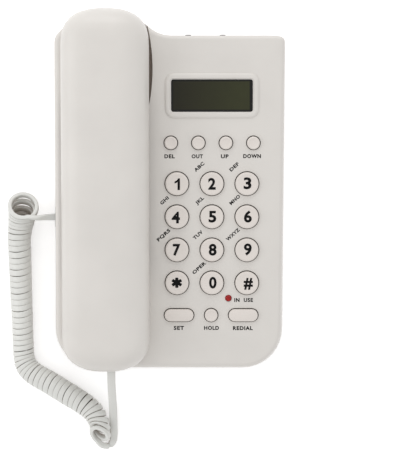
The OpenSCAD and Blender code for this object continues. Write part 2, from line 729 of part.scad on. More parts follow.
module board_screws() {
    color(steel_colour) {
        on_deck() for (p = main_posts) translate([p[0], p[1], board_top - board_t])
            screw(small_screw_d, 4, 4.4);
        for (p = board_posts) translate([p[0], p[1], line_board_top]) rotate([180, 0, 0])
            screw(small_screw_d, 4, 5);
    }
}

module line_board() {
    color(board_colour) difference() {
        translate([line_board_x - line_board_l / 2, line_board_y - line_board_d, line_board_top - board_t])
            cube([line_board_l, line_board_d, board_t]);
        for (p = board_posts) translate([p[0], p[1], line_board_top - 5])
            cylinder(d = small_screw_d + 0.2, h = 10);
    }
}

// The line socket, open to the rear, with the room for a plug's latch below
module line_jack() {
    face = rear_y + 0.2;
    mid = line_board_top + jack_h / 2;
    color(black_colour) difference() {
        translate([line_jack_x - jack_w / 2, face - jack_d, line_board_top]) cube([jack_w, jack_d, jack_h]);
        box_at([line_jack_x, face, mid + 0.4], [line_socket_w, 26, line_socket_h]);
        box_at([line_jack_x, face, mid - line_socket_h / 2], [line_socket_w * 0.64, 26, 2.4]);
        box_at([line_jack_x, face, mid - line_socket_h / 2 - 1], [line_socket_w * 0.4, 26, 2]);
    }
}

// A cord socket with its face at y = 0, open to -Y
module cord_socket(l) {
    g = plug_gap;
    difference() {
        translate([-socket_w / 2, 0, -socket_h / 2]) cube([socket_w, l, socket_h]);
        translate([-plug_w / 2 - g, -1, -plug_h / 2 - g])
            cube([plug_w + 2 * g, l - socket_wall + 1, plug_h + 2 * g]);
        translate([-1.8 - g, -1, -plug_h / 2 - 0.9 - g]) cube([3.6 + 2 * g, 8, 2]);
    }
}

// A cord plug from its rear face at y = 0 to its tip, with its latch below
module cord_plug() {
    translate([-plug_w / 2, 0, -plug_h / 2]) cube([plug_w, plug_l, plug_h]);
    translate([-1.8, 1, -plug_h / 2 - 0.9]) cube([3.6, 5, 1.2]);
}

module base_cord_jack() {
    color(black_colour) translate([base_plug_x - 0.2, socket_y, socket_z]) rotate(-90)
        cord_socket(plug_l + plug_gap + socket_wall + 0.2);
}

module cord_plug_base() {
    color(clear_colour) translate([base_plug_x, socket_y, socket_z]) rotate(-90) cord_plug();
}

// A slide switch with a slot for its knob, and the knob in it
module slide_switch(x) {
    front = line_board_y - 0.3;
    color(steel_colour) difference() {
        translate([x - switch_w / 2, front - switch_d, line_board_top]) cube([switch_w, switch_d, switch_h]);
        box_at([x, front, line_board_top + switch_h / 2],
               [switch_travel + knob_w + 0.6, 4, knob_h + 0.4]);
    }
}

module slide_knob(x) {
    front = line_board_y - 0.3;
    color(black_colour)
        translate([x - switch_travel / 2 - knob_w / 2, front - 1.6,
                   line_board_top + switch_h / 2 - knob_h / 2])
        cube([knob_w, rear_y + 1.2 - front + 1.6, knob_h]);
}

// ------------------------------------------------------------ hook, ringer

module hook_plunger() {
    color(shell_colour) on_deck() translate([hook_at[0], hook_at[1], 0]) {
        translate([-hook_w / 2, -hook_l / 2, hook_flange_bottom])
            cube([hook_w, hook_l, well_z - 0.05 - hook_flange_bottom]);
        translate([-hook_w / 2 - 1.5, -hook_l / 2 - 1.5, hook_flange_bottom])
            cube([hook_w + 3, hook_l + 3, 1.5]);
        translate([0, 0, hook_flange_bottom - hook_stem_l]) cylinder(d = hook_stem_d, h = hook_stem_l + 1);
    }
}

module hook_switch() {
    color(black_colour) on_deck() translate([hook_at[0], hook_at[1], 0]) difference() {
        translate([-hook_box[0] / 2, -hook_box[1] / 2, hook_switch_top - hook_box[2]]) cube(hook_box);
        translate([0, 0, hook_flange_bottom - hook_stem_l - 0.3])
            cylinder(d = hook_stem_d + 0.12, h = 20);
    }
}

module ringer_speaker() {
    r = ringer_d / 2;
    color(black_colour) translate([ringer_at[0], ringer_at[1], floor_z + base_wall]) rotate_extrude()
        polygon([[0, 0], [r, 0], [r, 2.5], [r * 0.6, 4], [r * 0.6, ringer_t], [0, ringer_t]]);
}

// ----------------------------------------------------------------- handset

module in_handset() {
    on_deck() translate([handset_x, handset_y, 0]) children();
}

module handset_back_shell() {
    color(shell_colour) in_handset() difference() {
        union() {
            trough(1, 3, function (y, off) back_depth(y, off));
            for (s = [-1, 1]) translate([0, s * handset_screw_y, part_z + 2])
                cylinder(d = 7, h = handset_rise - part_z - 3);
        }
        for (s = [-1, 1]) translate([0, s * handset_screw_y, part_z + 1])
            cylinder(d = screw_d + 0.1, h = 10);
    }
}

module handset_front_shell() {
    color(shell_colour) in_handset() difference() {
        union() {
            trough(-1, 4.5, function (y, off) front_depth(y, off));
            for (s = [-1, 1]) {
                translate([0, s * handset_screw_y, grip_z + 1])
                    cylinder(d = 8.4, h = part_z + 2 - grip_z - 1);
                translate([0, s * cup_face_y, face_z + 1])
                    cylinder(d = dish_d + 2, h = dish_floor - face_z - 1);
            }
        }
        for (s = [-1, 1]) {
            translate([0, s * handset_screw_y, grip_z - 5]) cylinder(d = screw_d + 0.3, h = 30);
            translate([0, s * handset_screw_y, grip_z - 5]) cylinder(d = screw_head_d + 0.6, h = 7.4);
            translate([0, s * cup_face_y, face_z - 1]) rotate_extrude()
                polygon([[0, 0], [dish_d / 2 + 0.4, 0], [dish_d / 2 - 0.6, 1.6],
                         [dish_d * 0.34, 1 + dish_depth - 0.3], [dish_d * 0.2, 1 + dish_depth],
                         [0, 1 + dish_depth]]);
        }
        ear_holes = concat([[0, 0]], arc([0, 0], 3.6, 0, 300, 5), arc([0, 0], 7.2, 15, 345, 11));
        for (p = ear_holes) translate([p[0], p[1] + cup_face_y, face_z - 5])
            cylinder(d = 1.6, h = 12, $fn = 24);
        mouth_holes = concat([[0, 0]], arc([0, 0], 3, 0, 270, 3));
        for (p = mouth_holes) translate([p[0], p[1] - cup_face_y, face_z - 5])
            cylinder(d = 1.6, h = 12, $fn = 24);
        translate([nose_socket_x - handset_x, 0, nose_socket_z]) translate([0, -handset_l / 2 + 2, -0.4])
            box_at([0, 0, 0], [plug_w + 0.6, 8, plug_h + 1.8]);
    }
}

module receiver_capsule() {
    color(black_colour) in_handset() translate([0, cup_face_y, dish_floor]) rotate_extrude()
        polygon([[0, 0.6], [capsule_r - 7, 0.6], [capsule_r - 7, 0], [capsule_r, 0], [capsule_r, 3],
                 [capsule_r - 3, 5], [capsule_r - 3, capsule_h], [0, capsule_h]]);
}

module microphone_capsule() {
    color(black_colour) in_handset() translate([0, -cup_face_y, dish_floor])
        cylinder(d = microphone_d, h = microphone_h);
}

module handset_weight() {
    color(steel_colour) in_handset() translate([0, 0, grip_z + handset_wall + weight_gap])
        loft([rounded(weight_w, weight_l, 2, 0), rounded(weight_w, weight_l, 2, weight_t)]);
}

module handset_cord_jack() {
    plug_tip = nose_plug_y - handset_y + plug_l;
    color(black_colour) in_handset() translate([nose_socket_x - handset_x, nose_face_y, nose_socket_z])
        cord_socket(plug_tip - nose_face_y + plug_gap + socket_wall);
}

module handset_screws() {
    color(steel_colour) in_handset() for (s = [-1, 1]) translate([0, s * handset_screw_y, grip_z + 2.4])
        screw(screw_d, screw_head_d, handset_screw_l);
}

// -------------------------------------------------------------- curly cord

module cord_plug_handset() {
    color(clear_colour) on_deck() translate([nose_socket_x, nose_plug_y, nose_socket_z]) cord_plug();
}

module cord_lead_base() {
    color(cord_colour) strap(base_lead_route, cord_w, cord_t);
}

module cord_coil() {
    color(cord_colour) strap(coil_route, 2 * coil_r / cos(22.5), 2 * coil_r / cos(22.5));
}

module cord_lead_handset() {
    color(cord_colour) strap(handset_lead_route, cord_w, cord_t);
}

base_bottom_cover();
base_top_cover();
display_pane();
display_module();
keypad_membrane();
digit_key(0);  // key_1
digit_key(1);  // key_2
digit_key(2);  // key_3
digit_key(3);  // key_4
digit_key(4);  // key_5
digit_key(5);  // key_6
digit_key(6);  // key_7
digit_key(7);  // key_8
digit_key(8);  // key_9
digit_key(9);  // key_star
digit_key(10);  // key_0
digit_key(11);  // key_hash
small_key(0);  // key_del
small_key(1);  // key_out
small_key(2);  // key_up
small_key(3);  // key_down
wide_key(0);  // key_set
small_key(4);  // key_hold
wide_key(1);  // key_redial
call_lamp();
main_board();
line_board();
board_screws();
hook_plunger();
hook_switch();
ringer_speaker();
line_jack();
base_cord_jack();
slide_switch(ringer_x);  // ringer_switch
slide_knob(ringer_x);  // ringer_knob
slide_switch(dial_x);  // dial_switch
slide_knob(dial_x);  // dial_knob
rubber_feet();
base_screws();
handset_back_shell();
handset_front_shell();
receiver_capsule();
microphone_capsule();
handset_weight();
handset_cord_jack();
handset_screws();
cord_plug_base();
cord_lead_base();
cord_coil();
cord_lead_handset();
cord_plug_handset();
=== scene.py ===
"""A corded desk telephone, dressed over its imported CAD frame. Lengths are in metres."""
import json
import math

import bmesh
import bpy
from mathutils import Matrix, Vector


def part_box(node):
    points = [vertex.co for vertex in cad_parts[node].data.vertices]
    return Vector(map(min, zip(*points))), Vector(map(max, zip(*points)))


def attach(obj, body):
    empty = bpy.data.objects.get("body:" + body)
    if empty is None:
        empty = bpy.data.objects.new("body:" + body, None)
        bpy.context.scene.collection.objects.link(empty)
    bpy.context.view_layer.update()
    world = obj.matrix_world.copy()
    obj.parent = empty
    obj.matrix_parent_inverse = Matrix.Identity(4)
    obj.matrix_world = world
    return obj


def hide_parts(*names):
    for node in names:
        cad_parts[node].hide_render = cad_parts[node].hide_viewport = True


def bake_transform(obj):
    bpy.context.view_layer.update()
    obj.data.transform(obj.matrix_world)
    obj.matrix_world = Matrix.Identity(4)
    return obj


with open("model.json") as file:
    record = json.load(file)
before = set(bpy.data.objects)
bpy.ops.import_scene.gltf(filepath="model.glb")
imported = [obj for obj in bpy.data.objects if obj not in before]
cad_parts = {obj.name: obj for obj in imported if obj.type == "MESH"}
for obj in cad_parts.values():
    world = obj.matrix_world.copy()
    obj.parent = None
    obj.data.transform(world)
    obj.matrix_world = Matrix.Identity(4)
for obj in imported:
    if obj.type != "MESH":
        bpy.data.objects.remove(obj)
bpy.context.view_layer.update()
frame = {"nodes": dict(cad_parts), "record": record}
nodes = frame["nodes"]
MM = 0.001

# The deck's own frame: x across, U up the slope, N out of it
TILT = math.radians(7)
U = Vector((0, math.cos(TILT), math.sin(TILT)))
N = Vector((0, -math.sin(TILT), math.cos(TILT)))
X = Vector((1, 0, 0))
Z = Vector((0, 0, 1))
DECK_ORIGIN = Vector((0, 0, 0.035))


def add(obj):
    bpy.context.scene.collection.objects.link(obj)
    return obj


# ------------------------------------------------------------------ camera

IMAGE = (408, 450)
PIXEL = 0.5433 * MM
AIM = Vector((18.56, -18.48, 32.9)) * MM
CAMERA_OUT = 1.5

camera = add(bpy.data.objects.new("camera", bpy.data.cameras.new("camera")))
camera.data.sensor_width = 36
camera.data.lens = camera.data.sensor_width * CAMERA_OUT / (IMAGE[1] * PIXEL)
camera.data.clip_start, camera.data.clip_end = 0.1, 20
camera.location = AIM + Z * CAMERA_OUT
bpy.context.scene.camera = camera

# -------------------------------------------------------------------- cord

# The cord is flat: its thickness, and its width in the coil and in the plain stretches
CORD_T = 2.2 * MM
COIL_W, LEAD_W = 3.3 * MM, 4.5 * MM
NARROWEST = 0.9 * MM
TURN_STEPS = 28
ROW_STEPS = 60
LINE_STEPS = 24
AROUND = 16
SQUARENESS = 0.36
BASE_LEAD = [(-59.3, -14, 16.5), (-62.8, -14, 16.5), (-66.3, -14.1, 16.7), (-69.8, -14.3, 17.5),
             (-73, -14.6, 18.4)]
# Down the coil: middle of a turn, the way it faces, its radius, how far its top leans on along
# the coil, and the pitch; all in millimetres
COIL = [((-80.6, -7.2, 15.6), (0, -0.36, -0.93), 7.65, 0.0, 3.3),
        ((-80.9, -9.5, 13.1), (0, -0.56, -0.83), 7.3, 0.0, 3.2),
        ((-81.5, -12.2, 10.9), (-0.02, -0.74, -0.67), 6.8, 0.1, 3.0),
        ((-82.1, -15.4, 9.2), (-0.05, -0.87, -0.49), 6.3, 0.4, 2.9),
        ((-82.7, -19.0, 7.8), (-0.08, -0.95, -0.29), 5.85, 0.9, 3.0),
        ((-83.3, -23.0, 7.0), (-0.06, -0.99, -0.10), 5.55, 1.5, 3.27),
        ((-83.5, -27.3, 6.6), (0.0, -1, 0), 5.35, 2.0, 3.27),
        ((-83.0, -41.0, 6.5), (0.04, -1, 0), 5.2, 2.1, 3.27),
        ((-82.5, -55.5, 6.4), (0.04, -1, 0), 5.0, 2.1, 3.27),
        ((-81.8, -72.0, 6.3), (0.05, -1, 0), 4.8, 1.9, 3.27),
        ((-81.4, -84.0, 6.2), (0.06, -1, 0), 4.75, 1.2, 3.2),
        ((-81.0, -90.6, 6.2), (0.20, -0.98, 0), 4.85, 0.3, 2.7),
        ((-79.4, -96.4, 6.3), (0.52, -0.85, 0), 5.1, -0.8, 2.5),
        ((-75.2, -100.6, 6.4), (0.76, -0.65, 0), 5.3, -1.6, 2.7),
        ((-69.0, -104.2, 6.5), (0.84, -0.54, 0), 5.35, -2.0, 3.15),
        ((-57.2, -111.4, 6.5), (0.84, -0.54, 0), 5.35, -2.0, 3.15),
        ((-49.2, -116.4, 6.5), (0.80, -0.60, 0), 5.2, -1.6, 3.15),
        ((-44.0, -120.4, 6.7), (0.56, -0.82, 0.08), 5.1, -0.8, 2.9),
        ((-41.0, -124.6, 7.0), (0.18, -0.95, 0.26), 4.95, -0.2, 2.9),
        ((-39.6, -128.2, 7.3), (-0.18, -0.88, 0.44), 4.95, 0.0, 2.8),
        ((-39.0, -131.3, 7.6), (-0.40, -0.74, 0.54), 5.1, 0.0, 2.6),
        ((-38.9, -133.4, 8.0), (-0.48, -0.67, 0.56), 5.25, 0.0, 2.5),
        ((-39.0, -135.2, 8.5), (-0.52, -0.64, 0.57), 5.35, 0.0, 2.4)]
HANDSET_LEAD = [(-38.34, -139.94, 4.0), (-36.55, -140.73, 3.7), (-34.69, -140.65, 3.3),
                (-33.04, -139.79, 2.9), (-31.9, -138.32, 2.6), (-31.5, -136.5, 2.4),
                (-31.4, -133.4, 2.9), (-31.5, -130, 4.4), (-31.5, -124.6, 7.4),
                (-31.6, -119, 11.4), (-31.8, -113.5, 15.4), (-32.1, -107.5, 18.8),
                (-32.2, -101, 21.2), (-32.2, -95.5, 22.35), (-32, -92, 22.8)]


def through(a, b, c, d, t):
    """A value at t between b and c on a smooth line through four."""
    return 0.5 * (2 * b + (c - a) * t + (2 * a - 5 * b + 4 * c - d) * t * t
                  + (3 * b - a - 3 * c + d) * t ** 3)


def spline(points, step):
    """Points at about one step along a smooth line through the given ones."""
    p = [Vector(q) for q in points]
    p = [2 * p[0] - p[1]] + p + [2 * p[-1] - p[-2]]
    fine = [through(*four, i / LINE_STEPS) for four in zip(p, p[1:], p[2:], p[3:])
            for i in range(LINE_STEPS)]
    fine.append(p[-2])
    walked = [0.0]
    for a, b in zip(fine, fine[1:]):
        walked.append(walked[-1] + (b - a).length)
    count = max(2, round(walked[-1] / step))
    out, j = [], 0
    for i in range(count + 1):
        at = walked[-1] * i / count
        while j < len(fine) - 2 and walked[j + 1] < at:
            j += 1
        span = walked[j + 1] - walked[j]
        out.append(fine[j].lerp(fine[j + 1], 0 if span == 0 else (at - walked[j]) / span))
    return out


def coil_stations():
    """The coil's rows drawn out finely: middle, facing, radius, lean and pitch."""
    rows = [(Vector(middle) * MM, Vector(facing).normalized(), *(v * MM for v in sizes))
            for middle, facing, *sizes in COIL]
    before = tuple(2 * u - v for u, v in zip(rows[0], rows[1]))
    after = tuple(2 * u - v for u, v in zip(rows[-1], rows[-2]))
    rows = [before, *rows, after]
    out = []
    for four in zip(rows, rows[1:], rows[2:], rows[3:]):
        for i in range(ROW_STEPS):
            out.append([through(*values, i / ROW_STEPS) for values in zip(*four)])
    out.append(list(rows[-2]))
    for row in out:
        row[1] = row[1].normalized()
    return out


def coil_points():
    """The ribbon's middle line round the coil, the way its width points, and its width."""
    rows = coil_stations()
    count = len(rows)
    # Sideways direction carried along the coil from its middle, where it points up
    side = [None] * count
    mid = count // 2
    side[mid] = (Z - rows[mid][1] * Z.dot(rows[mid][1])).normalized()
    for run in (range(mid + 1, count), range(mid - 1, -1, -1)):
        last = side[mid]
        for i in run:
            last = (last - rows[i][1] * last.dot(rows[i][1])).normalized()
            side[i] = last
    turned = [0.0]
    for a, b in zip(rows, rows[1:]):
        ahead = (b[0] - a[0]).dot(a[1])
        turned.append(turned[-1] + 2 * math.pi * ahead / a[4])

    # The first turn leaves the ring's near side, and the last one ends near its lowest point
    def angle_of(way, i):
        return math.atan2(way.dot(rows[i][1].cross(side[i])), way.dot(side[i]))
    first = angle_of(Vector((0.35, -1, 0.4)), 0)
    last = angle_of(Vector((-0.28, -0.52, -0.81)), count - 1)
    rest = last - first
    whole = round((turned[-1] - rest) / (2 * math.pi)) * 2 * math.pi + rest
    samples = round(whole / (2 * math.pi) * TURN_STEPS)
    line, j = [], 0
    for k in range(samples + 1):
        want = turned[-1] * k / samples
        while j < count - 2 and turned[j + 1] < want:
            j += 1
        t = min(1, (want - turned[j]) / (turned[j + 1] - turned[j]))
        centre, along, radius, lean, _ = (u + (v - u) * t for u, v in zip(rows[j], rows[j + 1]))
        up = side[j].lerp(side[j + 1], t)
        up = (up - along * up.dot(along)).normalized()
        turn = k / TURN_STEPS
        angle = first + whole * k / samples
        out = up * math.cos(angle) + along.cross(up) * math.sin(angle)
        # No two turns sit quite alike
        uneven = 0.6 * math.sin(2.3 * turn) + 0.4 * math.sin(5.1 * turn + 1)
        radius += 0.07 * MM * uneven
        drop = (radius + CORD_T / 2) * math.sqrt(1 - along.z ** 2) + COIL_W / 2 * abs(along.z)
        lift = max(0, drop + 0.1 * MM - centre.z)
        shift = lean * math.cos(angle) + 0.12 * MM * math.sin(1.9 * turn + 2)
        line.append((centre + out * radius + Z * lift + along * shift, along))
    wide = []
    for i, (p, along) in enumerate(line):
        near = [abs((line[o][0] - p).dot(along)) for o in (i - TURN_STEPS, i + TURN_STEPS)
                if 0 <= o < len(line)]
        ease = max(0, 1 - min(i, samples - i) / TURN_STEPS / 0.6)
        free = COIL_W + (LEAD_W - COIL_W) * ease ** 2 * 0.5
        wide.append((p, along, max(NARROWEST, min([free] + near))))
    return wide


def skin(mesh, rings):
    """Faces between rings of corners, closed at both ends."""
    for a, b in zip(rings, rings[1:]):
        for k in range(len(a)):
            j = (k + 1) % len(a)
            mesh.faces.new((a[k], a[j], b[j], b[k]))
    mesh.faces.new(rings[0][::-1])
    mesh.faces.new(rings[-1])


def ribbon(name, line, thick):
    """A closed flat cord along (point, way that its width points, width) rows."""
    mesh = bmesh.new()
    rings = []
    for i, (p, wide, width) in enumerate(line):
        ahead = (line[min(i + 1, len(line) - 1)][0] - line[max(i - 1, 0)][0]).normalized()
        wide = (wide - ahead * wide.dot(ahead)).normalized()
        flat = ahead.cross(wide)
        ring = []
        for k in range(AROUND):
            a = 2 * math.pi * k / AROUND
            c, s = math.cos(a), math.sin(a)
            ring.append(mesh.verts.new(
                p + wide * (math.copysign(abs(c) ** SQUARENESS, c) * width / 2)
                + flat * (math.copysign(abs(s) ** SQUARENESS, s) * thick / 2)))
        rings.append(ring)
    skin(mesh, rings)
    return finish_mesh(name, mesh)


def finish_mesh(name, mesh, smooth=True):
    """The built mesh as an object in the scene."""
    bmesh.ops.recalc_face_normals(mesh, faces=mesh.faces)
    data = bpy.data.meshes.new(name)
    mesh.to_mesh(data)
    mesh.free()
    if smooth:
        data.shade_smooth()
    return add(bpy.data.objects.new(name, data))


def lead(points, first, last, widths, share, step=0.7 * MM):
    """A plain stretch whose width turns from one way to another over a share of it."""
    line = spline(points, step)
    out = []
    for i, p in enumerate(line):
        t = min(1, i / (len(line) - 1) / share)
        t = t * t * (3 - 2 * t)
        out.append((p, (first * (1 - t) + last * t).normalized(),
                    widths[0] * (1 - t) + widths[1] * t))
    return out


coil = coil_points()
base_lead = lead([Vector(p) * MM for p in BASE_LEAD] + [coil[0][0], coil[3][0]],
                 Vector((0, -1, 0)), coil[0][1], (LEAD_W * 0.88, coil[0][2]), 1)
handset_lead = lead([coil[-4][0], coil[-1][0]] + [Vector(p) * MM for p in HANDSET_LEAD],
                    coil[-1][1], -X, (coil[-1][2], LEAD_W), 0.35)
cut = min(range(len(base_lead)), key=lambda i: (base_lead[i][0] - coil[0][0]).length)
start = min(range(len(handset_lead)), key=lambda i: (handset_lead[i][0] - coil[-1][0]).length)
cord_line = base_lead[:cut] + coil + handset_lead[start + 1:]
cord = ribbon("curly_cord", cord_line, CORD_T)
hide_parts("cord_lead_base", "cord_coil", "cord_lead_handset")
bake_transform(cord)

# --------------------------------------------------------------- materials


def colour(code, scale=1.0):
    """Linear colour from a written one such as "D7D3CE"."""
    out = []
    for i in (0, 2, 4):
        c = int(code[i:i + 2], 16) / 255
        out.append((c / 12.92 if c <= 0.04045 else ((c + 0.055) / 1.055) ** 2.4) * scale)
    return (*out, 1.0)


class Nodes:
    """Adds shader nodes to one material."""

    def __init__(self, name):
        self.material = bpy.data.materials.new(name)
        self.material.use_nodes = True
        self.tree = self.material.node_tree
        self.shader = self.tree.nodes["Principled BSDF"]
        self.place = self.tree.nodes.new("ShaderNodeTexCoord").outputs["Object"]

    def new(self, kind, **values):
        node = self.tree.nodes.new("ShaderNode" + kind)
        for key, value in values.items():
            setattr(node, key, value)
        return node

    def link(self, a, b):
        self.tree.links.new(a, b)

    def noise(self, size, detail=2.0, rough=0.5):
        """Noise whose features have that size in metres."""
        node = self.new("TexNoise")
        self.link(self.place, node.inputs["Vector"])
        node.inputs["Scale"].default_value = 1 / size
        node.inputs["Detail"].default_value = detail
        node.inputs["Roughness"].default_value = rough
        return node.outputs["Fac"]

    def span(self, value, low, high, from_low=0.3, from_high=0.7):
        node = self.new("MapRange")
        self.link(value, node.inputs["Value"])
        for key, number in (("From Min", from_low), ("From Max", from_high),
                            ("To Min", low), ("To Max", high)):
            node.inputs[key].default_value = number
        return node.outputs["Result"]

    def mix(self, factor, a, b, blend="MIX"):
        """A colour between two; each is a colour or an output."""
        node = self.new("Mix", data_type="RGBA", blend_type=blend)
        self.link(factor, node.inputs["Factor"])
        sockets = [s for s in node.inputs if s.type == "RGBA"]
        for socket, value in zip(sockets, (a, b)):
            if isinstance(value, tuple):
                socket.default_value = value
            else:
                self.link(value, socket)
        return [s for s in node.outputs if s.type == "RGBA"][0]

    def bump(self, height, strength, distance, under=None):
        node = self.new("Bump")
        node.inputs["Strength"].default_value = strength
        node.inputs["Distance"].default_value = distance
        self.link(height, node.inputs["Height"])
        if under is not None:
            self.link(under, node.inputs["Normal"])
        return node.outputs["Normal"]

    def set(self, **values):
        for key, value in values.items():
            self.shader.inputs[key.replace("_", " ")].default_value = value

    def use(self, socket, value):
        self.link(value, self.shader.inputs[socket])


# How near another surface must come for painted shade in a crevice, and for painted shade in a wide
# recess
CREVICE, RECESS = 2.2 * MM, 16 * MM
RECESS_SPAN = (0.08, 0.42)


def moulded(name, code, rough=0.42, vary=0.03, grain=0.35, bump=0.12, crevice_shade=None,
            hidden=(0.15, 0.8), shade=None):
    """Moulded plastic: faint flow mottling, a spark-eroded grain and uneven sheen.

    The crevice colour is painted shade in the crevices, over the span of openness in hidden, and
    shade is painted shade in the wide recesses."""
    m = Nodes(name)
    pale, deep = colour(code, 1 + vary / 2), colour(code, 1 - vary)
    tone = m.mix(m.span(m.noise(22 * MM, 3), 0, 1), pale, deep)
    # Painted shade: the colour is mixed towards a darker one where other surfaces crowd a crevice
    if crevice_shade:
        corner = m.new("AmbientOcclusion", samples=8)
        corner.inputs["Distance"].default_value = CREVICE
        m.link(tone, corner.inputs["Color"])
        tone = m.mix(m.span(corner.outputs["AO"], 0, 1, *hidden), colour(crevice_shade), tone)
    # Painted shade: deep in wide recesses the colour is mixed towards the shade colour
    if shade:
        recess = m.new("AmbientOcclusion", samples=8)
        recess.inputs["Distance"].default_value = RECESS
        m.link(tone, recess.inputs["Color"])
        tone = m.mix(m.span(recess.outputs["AO"], 0, 1, *RECESS_SPAN), colour(shade), tone)
    m.use("Base Color", tone)
    m.use("Roughness", m.span(m.noise(6 * MM, 4), rough - 0.05, rough + 0.06))
    m.use("Normal", m.bump(m.noise(grain * MM, 2, 0.6), bump, 0.05 * MM))
    m.set(IOR=1.49)
    return m.material


def metal(name, code, rough=0.3, brushed=0.12):
    """Drawn or stamped metal with fine brushing."""
    m = Nodes(name)
    m.use("Base Color", m.mix(m.span(m.noise(0.8 * MM, 4), 0, 1), colour(code), colour(code, 0.72)))
    m.use("Roughness", m.span(m.noise(0.4 * MM, 3), rough - 0.08, rough + 0.15))
    m.use("Normal", m.bump(m.noise(0.25 * MM, 3, 0.7), brushed, 0.03 * MM))
    m.set(Metallic=1.0)
    return m.material


def ink(name, code):
    """Pad-printed ink, almost without a gloss."""
    m = Nodes(name)
    m.use("Base Color", m.mix(m.span(m.noise(0.5 * MM, 3), 0, 1), colour(code), colour(code, 1.7)))
    m.use("Roughness", m.span(m.noise(0.3 * MM, 2), 0.42, 0.6))
    m.set(IOR=1.18)
    return m.material


# Painted shade: SHELL, HANDSET, KEY and JACKET darken in crevices, and SHELL and JACKET also in
# wide recesses
SHELL = moulded("shell_plastic", "DAD6D1", 0.40, crevice_shade="7D6A59", hidden=(0.05, 0.62),
                shade="8C7868")
HANDSET = moulded("handset_plastic", "DAD6D1", 0.38, crevice_shade="A79A8D")
KEY = moulded("key_plastic", "DED7D1", 0.36, vary=0.02, grain=0.3, bump=0.08, crevice_shade="54453A")
BLACK = moulded("black_plastic", "26262A", 0.45, vary=0.15)
BOARD = moulded("circuit_board", "2F6B3C", 0.35, vary=0.25, grain=0.9)
RUBBER = moulded("rubber", "2B2B2C", 0.8, vary=0.12, grain=0.5, bump=0.4)
# The membrane's own colour, darkened brown as painted shade for the key gaps it shows through
SILICONE_AND_GAP_SHADE = moulded("membrane_silicone_gap_shade", "6E6054", 0.6, vary=0.05)
JACKET = moulded("cord_jacket", "DCDCD8", 0.34, vary=0.04, grain=0.6, bump=0.1, crevice_shade="A39C93",
                 hidden=(0.05, 0.5), shade="A89A8C")
STEEL = metal("zinc_steel", "B4B7BB")
GOLD = metal("gold_contact", "D9A441", 0.2)
INK = ink("black_print", "0C0C0D")

LAMP = Nodes("lamp_red")
LAMP.use("Base Color", LAMP.mix(LAMP.span(LAMP.noise(1.2 * MM, 2), 0, 1),
                                colour("B40C08"), colour("7E0705")))
LAMP.use("Roughness", LAMP.span(LAMP.noise(0.8 * MM, 2), 0.12, 0.24))
LAMP.set(Subsurface_Weight=0.15, Subsurface_Scale=0.001, IOR=1.4)

CLEAR = Nodes("clear_plastic")
CLEAR.use("Base Color", CLEAR.mix(CLEAR.span(CLEAR.noise(3 * MM, 2), 0, 1),
                                  colour("EEF3F3"), colour("DDE7E8")))
CLEAR.use("Roughness", CLEAR.span(CLEAR.noise(1.5 * MM, 3), 0.06, 0.16))
CLEAR.set(Transmission_Weight=0.85, IOR=1.52)

DISPLAY = Nodes("display_glass")
window_low, window_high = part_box("display_pane")
WINDOW_X, WINDOW_Y = (window_low + window_high)[0] / 2, (window_low + window_high)[1] / 2
# The window's size and its black border, in millimetres
WINDOW_W, WINDOW_H = 44.0, 17.3
BORDER_X, BORDER_Y = 1.3, 1.0
split = DISPLAY.new("SeparateXYZ")
DISPLAY.link(DISPLAY.place, split.inputs[0])


def inside(axis_socket, middle, half, soft=0.35 * MM):
    """1 within half of the middle, 0 beyond."""
    off = DISPLAY.new("Math", operation="SUBTRACT")
    DISPLAY.link(axis_socket, off.inputs[0])
    off.inputs[1].default_value = middle
    size = DISPLAY.new("Math", operation="ABSOLUTE")
    DISPLAY.link(off.outputs[0], size.inputs[0])
    return DISPLAY.span(size.outputs[0], 1, 0, half - soft, half + soft)


across = inside(split.outputs["X"], WINDOW_X - 0.3 * MM, (WINDOW_W / 2 - BORDER_X) * MM)
along = inside(split.outputs["Y"], WINDOW_Y, (WINDOW_H / 2 - BORDER_Y) * MM)
both = DISPLAY.new("Math", operation="MULTIPLY")
DISPLAY.link(across, both.inputs[0])
DISPLAY.link(along, both.inputs[1])
# Painted shade: the panel's colour is darker towards the left
lcd_shade_ramp = DISPLAY.span(split.outputs["X"], 0, 1, WINDOW_X - 22 * MM, WINDOW_X + 16 * MM)
panel = DISPLAY.mix(lcd_shade_ramp, colour("1E1B10"), colour("33351E"))
panel = DISPLAY.mix(DISPLAY.span(DISPLAY.noise(5 * MM, 3), 0, 0.25), panel, colour("272818"))
DISPLAY.use("Base Color", DISPLAY.mix(both.outputs[0], colour("111110"), panel))
DISPLAY.use("Roughness", DISPLAY.span(DISPLAY.noise(4 * MM, 2), 0.1, 0.2))
DISPLAY.set(IOR=1.3)

by_slot = {"housing": SHELL, "keys": KEY, "pane": DISPLAY.material, "board": BOARD,
           "silicone": SILICONE_AND_GAP_SHADE, "lamp": LAMP.material, "steel": STEEL, "black_plastic": BLACK,
           "rubber": RUBBER, "clear_plastic": CLEAR.material, "cord_jacket": JACKET}
slots = {part["node"]: part["material_slot"] for part in frame["record"]["subparts"]}


def dress(obj, material):
    obj.data.materials.clear()
    obj.data.materials.append(material)
    return obj


def soften(obj, angle=32):
    """Smooth shading that keeps the edges sharper than the angle."""
    weld = obj.modifiers.new("weld", "WELD")
    weld.merge_threshold = 0.002 * MM
    crease = obj.modifiers.new("crease", "EDGE_SPLIT")
    crease.split_angle = math.radians(angle)
    obj.data.shade_smooth()


for name, obj in nodes.items():
    dress(obj, by_slot[slots[name]])
    soften(obj)
for name in ("handset_back_shell", "handset_front_shell"):
    dress(nodes[name], HANDSET)
dress(cord, JACKET)

# ---------------------------------------------------------- printed legends


def deck_middle(name):
    """Middle of a node in the deck's frame, in millimetres across and up it."""
    low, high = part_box(name)
    middle = (low + high) / 2
    return middle.x / MM, (middle - DECK_ORIGIN).dot(U) / MM


def beside(name, right, up):
    """A place off a node's middle, in millimetres in the deck's frame."""
    x, u = deck_middle(name)
    return x + right, u + up


